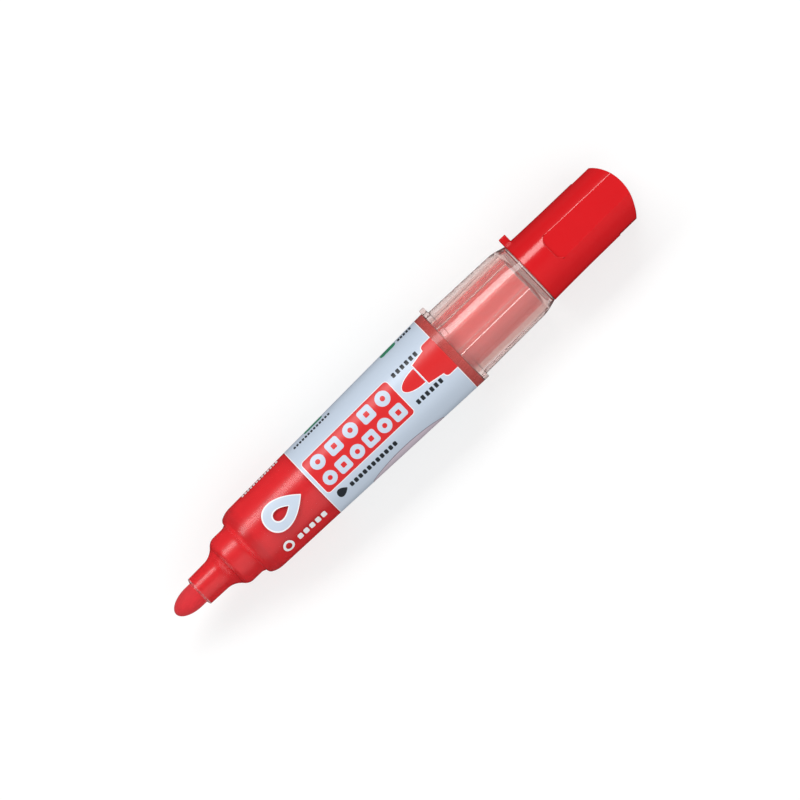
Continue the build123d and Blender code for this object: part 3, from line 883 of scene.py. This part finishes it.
class MARKER_OT_feed(bpy.types.Operator):
    """Make the red holder and housing, and the white feed inside them"""

    bl_idname = "marker.feed"
    bl_label = "Holder and feed"

    def execute(self, context):
        sizes, colours = context.scene.marker_sizes, context.scene.marker_colours
        # no gloss of its own where it wets the clear wall
        red = moulded_polypropylene("dyed_polypropylene_feed", colours.feed_red, 0.3, 0.05)
        white = moulded_polypropylene("natural_polypropylene_feed", colours.natural, 0.45)
        wick = bonded_fibre("bonded_polyester_wick", colours.nib_red, sizes.fibre)
        start, end = front("feed_housing"), rear("feed_housing")
        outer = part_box("feed_housing")[1].z / MM
        # both red parts are moulded tight to the clear wall, so they wet it
        corners = [
            (start - 0.2, 3.5),
            (start - 0.2, NECK_BORE + WET),
            (start, NECK_BORE + WET),
            (start + 2.0, BODY_BORE + WET, 1.2),
            (end, outer + 0.03 + WET),
            (end, 8.2),
            (end - 0.6, 7.6),
            (start + 3.2, 7.6, 0.4),
            (start + 3.2, 3.5),
        ]
        housing = turned("feed_housing_tube", corners, sizes.turn_steps)
        fit(housing, "feed_housing", "barrel", red)
        front_end, back_end = front("nib_holder"), rear("nib_holder")
        corners = [
            (front_end, 3.0),
            (front_end, NOZZLE_BORE + WET),
            (-8.0, NOZZLE_BORE + WET, 0.2),
            (-4.6 - WET, 5.0, 0.1),
            (-4.6 - WET, 5.7, 0.1),
            (-4.1, NECK_BORE + WET, 0.1),
            (back_end, NECK_BORE + WET),
            (back_end, 3.4),
            (-3.3, 3.4),
            (-3.3, 3.0),
        ]
        holder = turned("nib_holder_sleeve", corners, sizes.turn_steps)
        for k in range(2):
            vent = block("vent", (front_end - 1, -0.45, -3.35), (-3.3, 0.45, 3.35), 0.02)
            vent.data.transform(Matrix.Rotation(math.radians(90 * k), 4, "X"))
            combine(holder, vent, "DIFFERENCE")
        fit(holder, "nib_holder", "barrel", red)
        for name, node, slot, material in (
            ("collector_comb", "collector", "white_plastic", white),
            ("feed_wick_rod", "feed_wick", "nib_fibre", wick),
            ("twin_pipes", "twin_pipe_feeder", "white_plastic", white),
        ):
            fit(copied(name, node), node, "barrel", material)
        return {"FINISHED"}


class MARKER_OT_film(bpy.types.Operator):
    """Wrap the printed film round the barrel"""

    bl_idname = "marker.film"
    bl_label = "Printed film"

    def execute(self, context):
        sizes, colours = context.scene.marker_sizes, context.scene.marker_colours
        start, end = front("label"), rear("label")
        corners = [
            (start, barrel_radius(start) - FILM_THICKNESS),
            (start, barrel_radius(start), 0.04),
            (end, barrel_radius(end), 0.04),
            (end, barrel_radius(end) - FILM_THICKNESS),
        ]
        piece = turned("wrapped_film", corners, sizes.turn_steps)
        fit(piece, "label", "barrel", printed_film(sizes, colours))
        return {"FINISHED"}


class MARKER_OT_cartridge(bpy.types.Operator):
    """Turn the ink cartridge and its filling, and fit its stopper"""

    bl_idname = "marker.cartridge"
    bl_label = "Cartridge"

    def execute(self, context):
        sizes, colours = context.scene.marker_sizes, context.scene.marker_colours
        start, end = front("cartridge_tube"), rear("cartridge_tube")
        bottom = end - CARTRIDGE_END_WALL
        corners = [
            (end, 0),
            (end, 7.5, 1.2),
            (start, 7.5, 0.4),
            (start, CARTRIDGE_BORE),
            (bottom, CARTRIDGE_BORE),
            (bottom, 0),
        ]
        shell = turned("cartridge_shell", corners, sizes.turn_steps)
        milky = natural_cartridge_plastic(colours)
        fit(shell, "cartridge_tube", "cartridge", milky)
        # the ink wets the wall
        corners = [
            (front("ink"), 0),
            (front("ink"), CARTRIDGE_BORE + WET),
            (bottom + WET, CARTRIDGE_BORE + WET),
            (bottom + WET, 0),
        ]
        filling = turned("ink_filling", corners, sizes.turn_steps)
        fit(filling, "ink", "cartridge", liquid_ink(colours))
        stopper = copied("rubber_stopper", "cartridge_stopper")
        rubber = stopper_rubber(colours)
        fit(stopper, "cartridge_stopper", "cartridge", rubber)
        return {"FINISHED"}


class MARKER_OT_tail(bpy.types.Operator):
    """Turn the clear tail, and add its lug and the ribs that centre the cartridge"""

    bl_idname = "marker.tail"
    bl_label = "Clear tail"

    def execute(self, context):
        sizes, colours = context.scene.marker_sizes, context.scene.marker_colours
        soft = sizes.edge_round / MM
        start, end = front("tail_barrel"), rear("tail_barrel")
        flange = rear("front_barrel")
        flange_end = flange + 1.4
        face = end - STUB_LENGTH  # where the cap's mouth meets the cone
        corners = [
            (face - 0.7, 0),
            (face - 0.7, 7.9, 0.3),
            (face - 2.9, 8.8, 0.5),
            (start, 8.8, soft),
            (start, 9.7, 0.4),
            (start + 2.2, 9.7, 0.1),
            (start + 2.4, 9.5, 0.1),
            (start + 7.6, 9.5, 0.1),
            (start + 7.8, 9.7, 0.1),
            (flange, 9.7),
            (flange, BARREL_END_RADIUS, soft),
            (flange_end, BARREL_END_RADIUS, soft),
            (flange_end, 10.1, 0.15),
            (face - 3.5, 9.7, 1.3),
            (face, 8.7, soft),
            (face, 7.0, 0.1),
            (end, 7.0, 0.6),
            (end, 5.7, soft),
            (face + 0.1, 5.7, 0.4),
            (face + 0.1, 0),
        ]
        piece = turned("clear_tail", corners, sizes.turn_steps)
        lug = block("tail_lug", (flange, 9.2, -2.3), (flange_end, 11.75, 2.3), 0.2)
        combine(piece, lug, "UNION")
        for k in range(6):
            rib = block("rib", (start + 1.0, -0.55, 7.6), (face - 2.8, 0.55, 9.1), 0.22)
            # the first rib stands this many degrees from +Z towards -Y
            rib.data.transform(Matrix.Rotation(math.radians(18 + 60 * k), 4, "X"))
            combine(piece, rib, "UNION")
        fit(piece, "tail_barrel", "tail", clear_tail_plastic(colours))
        return {"FINISHED"}


class MARKER_OT_cap(bpy.types.Operator):
    """Turn the cap, cut its flats and add its lug, and fit its liner"""

    bl_idname = "marker.cap"
    bl_label = "Cap"

    def execute(self, context):
        sizes, colours = context.scene.marker_sizes, context.scene.marker_colours
        start, end = front("cap"), rear("cap")
        corners = [
            (end, 0),
            (end, 8.5),
            (end - 3.5, 8.5),
            # rings that carry no shape, so that the flats are cut out of short faces
            *((start + x, 8.5 + 0.0062 * (27.3 - x)) for x in (24.5, 21.95, 19.0, 16.0, 12.5)),
            (start + 8.0, 8.62, 3.0),
            (start, 8.83, 0.1),
            (start, 7.5, 0.1),
            (start + 0.45, 7.05, 0.1),
            (start + 27.1, 7.05, 0.5),
            (start + 27.1, 0),
        ]
        piece = turned("posted_cap", corners, sizes.turn_steps)
        # two long flats above and below, and two short shallow ones beside them
        for turn, back, height, corner in ((0, 7.0, 7.85, 2.2), (90, 22.0, 8.25, 0.05)):
            for side in (0, 180):
                low, high = (start + back, -3.75, height), (end + 5, 3.75, 9.9)
                tool = block("flat", low, high, corner, 2)
                tool.data.transform(Matrix.Rotation(math.radians(turn + side), 4, "X"))
                combine(piece, tool, "DIFFERENCE")
        # the end is rounded in plan only, so the long flats run right up to its edge
        bulge = 3.5
        size = (8.5**2 + bulge**2) / (2 * bulge)
        bpy.ops.mesh.primitive_cylinder_add(
            vertices=288, radius=size * MM, depth=30 * MM, location=((end - size) * MM, 0, 0)
        )
        round_end = bpy.context.active_object
        rest = block("rest", (start - 20, -20, -14), (end - 2 * bulge, 20, 14), 0.0)
        combine(round_end, rest, "UNION")
        combine(piece, round_end, "INTERSECT")
        lug = block("cap_lug", (start, 7.8, -1.7), (start + 2.0, 10.8, 1.7), 0.25)
        combine(piece, lug, "UNION")
        soften(piece, 0.13 * MM, 11)
        cap_red = moulded_polypropylene("dyed_polypropylene_cap", colours.cap_red, 0.17, 0.85)
        fit(piece, "cap", "cap", cap_red)
        white = moulded_polypropylene("natural_polyethylene_liner", colours.natural, 0.4)
        fit(copied("cap_liner", "inner_cap"), "inner_cap", "cap", white)
        return {"FINISHED"}


# ---------------------------------------------------------------- stage
CAMERA_DISTANCE = 2.0  # a long lens from two metres
VIEW_WIDTH = 0.192  # width of the view at the marker
AXIS_RISE = 43.95  # how far the marker's axis rises across the view, degrees
CAMERA_TURN = -4.0  # how far round the axis the camera stands, from +Z towards the lugs, degrees
AXIS_OFFSET = -0.0003  # how far the camera aims beside the axis, towards the lugs


class MARKER_OT_stage(bpy.types.Operator):
    """Lay the floor, hang the lamps, light the backdrop and set up the camera"""

    bl_idname = "marker.stage"
    bl_label = "Stage"

    def execute(self, context):
        colours = context.scene.marker_colours
        low, high = CAD_BOX
        middle = (low + high) / 2
        bpy.ops.object.select_all(action="DESELECT")
        bpy.ops.mesh.primitive_plane_add(size=8, location=(middle.x, middle.y, low.z))
        floor = context.active_object
        floor.name = "floor"
        floor.data.materials.append(self.paper(colours))
        # a bright strip on the lugs' side and a broad dim panel on the other, both along the marker
        for name, turn, distance, length, width, level in (
            ("strip", 39.5, 1.0, 1.6, 0.35, 4.7),
            ("panel", -48.0, 1.3, 2.6, 1.9, 0.98),
        ):
            bpy.ops.object.light_add(type="AREA")
            lamp = context.active_object
            lamp.name = name
            lamp.data.shape = "RECTANGLE"
            lamp.data.size, lamp.data.size_y = length, width
            lamp.data.energy = level * math.pi * length * width
            lamp.matrix_world = self.facing(middle, turn, distance)
            lamp.visible_camera = False
            lamp.visible_glossy = name == "strip"
        # black cloth above and beside the marker, which only its gloss and clear walls see, and
        # more on the paper, which only its gloss sees
        cloth = self.cloth()
        for name, turn, distance, width in (
            ("cloth_above", 0.0, 2.6, 5.2),
            ("cloth_beside", 66.0, 2.6, 2.7),
            ("cloth_opposite", -66.0, 2.6, 2.7),
            ("cloth_under", 180.0, middle.z - low.z - 0.0002, 5.0),
        ):
            bpy.ops.mesh.primitive_plane_add(size=1)
            card = context.active_object
            card.name = name
            place = self.facing(middle, turn, distance)
            card.matrix_world = place @ Matrix.Diagonal((10, width, 1, 1))
            card.data.materials.append(cloth)
            card.visible_camera = card.visible_diffuse = card.visible_shadow = False
            card.visible_transmission = name != "cloth_under"
        self.backdrop(context.scene)
        bpy.ops.object.camera_add()
        camera = context.active_object
        camera.data.lens = camera.data.sensor_width * CAMERA_DISTANCE / VIEW_WIDTH
        camera.data.clip_start, camera.data.clip_end = 0.1, 20
        round_axis = math.radians(CAMERA_TURN)
        back = Vector((0, math.sin(round_axis), math.cos(round_axis)))
        rise = math.radians(AXIS_RISE)
        along = Vector((1, 0, 0))
        across = back.cross(along)
        right = along * math.cos(rise) - across * math.sin(rise)
        up = along * math.sin(rise) + across * math.cos(rise)
        target = Vector((middle.x, 0, 0)) + AXIS_OFFSET * across
        camera.matrix_world = (
            Matrix.Translation(target + CAMERA_DISTANCE * back)
            @ Matrix((right, up, back)).transposed().to_4x4()
        )
        context.scene.camera = camera
        context.scene.view_settings.view_transform = "Standard"
        return {"FINISHED"}

    @staticmethod
    def facing(middle, turn, distance):
        """Stand a lamp or a card round the axis from straight above, facing the marker."""
        away = Vector((0, math.sin(math.radians(turn)), math.cos(math.radians(turn))))
        side = Vector(AXIS)
        face = Matrix((side, away.cross(side), away)).transposed().to_4x4()
        return Matrix.Translation(middle + distance * away) @ face

    @staticmethod
    def cloth():
        """Black velvet: its pile swallows light, so it is matt and nearly black."""
        material, tree = blank("black_velvet")
        black = solid(linear("141416"))
        pile = add(tree, "BsdfPrincipled", None, {"Base Color": black, "Roughness": 1.0})
        surface(tree, pile)
        return material

    @staticmethod
    def seen(tree, *kinds):
        """1 for the kinds of rays that show the backdrop or the paper itself."""
        rays = [add(tree, "LightPath", output=f"Is {kind} Ray") for kind in kinds]
        either = rays.pop()
        for ray in rays:
            either = add(tree, "Math", {"operation": "MAXIMUM"}, {0: either, 1: ray})
        return either

    def paper(self, colours):
        """White studio paper: matt, and lifted where it is seen so that it meets the backdrop."""
        material, tree = blank("studio_paper")
        matt = add(tree, "BsdfDiffuse", None, {"Color": solid(colours.floor)})
        seen = self.seen(tree, "Camera", "Transmission")
        lift = add(tree, "Math", {"operation": "MULTIPLY"}, {0: seen, 1: 0.65})
        glow = add(tree, "Emission", None, {"Color": (1, 1, 1, 1), "Strength": lift})
        surface(tree, add(tree, "AddShader", None, {0: matt, 1: glow}))
        return material

    def backdrop(self, scene):
        """A plain white backdrop that lights the marker softly from all round."""
        world = bpy.data.worlds.new("backdrop")
        world.use_nodes = True
        scene.world = world
        tree = world.node_tree
        tree.nodes.clear()
        seen = self.seen(tree, "Camera", "Glossy", "Transmission")
        fill = add(tree, "Background", None, {"Color": (1, 1, 1, 1), "Strength": 0.34})
        plain = add(tree, "Background", None, {"Color": (1, 1, 1, 1), "Strength": 1.0})
        both = add(tree, "MixShader", None, {0: seen, 1: fill, 2: plain})
        output = tree.nodes.new("ShaderNodeOutputWorld")
        tree.links.new(both, output.inputs["Surface"])


# ---------------------------------------------------------------- panel and registration
OPERATORS = (
    MARKER_OT_stage,
    MARKER_OT_nib,
    MARKER_OT_barrel,
    MARKER_OT_feed,
    MARKER_OT_film,
    MARKER_OT_cartridge,
    MARKER_OT_tail,
    MARKER_OT_cap,
)


class MARKER_PT_sidebar(bpy.types.Panel):
    """Lists the sizes, the colours and the pieces"""

    bl_label = "Whiteboard Marker"
    bl_space_type = "VIEW_3D"
    bl_region_type = "UI"
    bl_category = "Marker"

    def draw(self, context):
        for group in (context.scene.marker_sizes, context.scene.marker_colours):
            box = self.layout.box()
            for name in group.__annotations__:
                box.prop(group, name)
        for operator in OPERATORS:
            self.layout.operator(operator.bl_idname)


CLASSES = (MarkerSizes, MarkerColours, *OPERATORS, MARKER_PT_sidebar)


def register():
    for cls in CLASSES:
        bpy.utils.register_class(cls)
    bpy.types.Scene.marker_sizes = bpy.props.PointerProperty(type=MarkerSizes)
    bpy.types.Scene.marker_colours = bpy.props.PointerProperty(type=MarkerColours)


def unregister():
    del bpy.types.Scene.marker_colours
    del bpy.types.Scene.marker_sizes
    for cls in reversed(CLASSES):
        bpy.utils.unregister_class(cls)


def main():
    register()
    for operator in OPERATORS:
        getattr(bpy.ops.marker, operator.bl_idname.split(".")[1])()


if __name__ == "__main__":
    main()
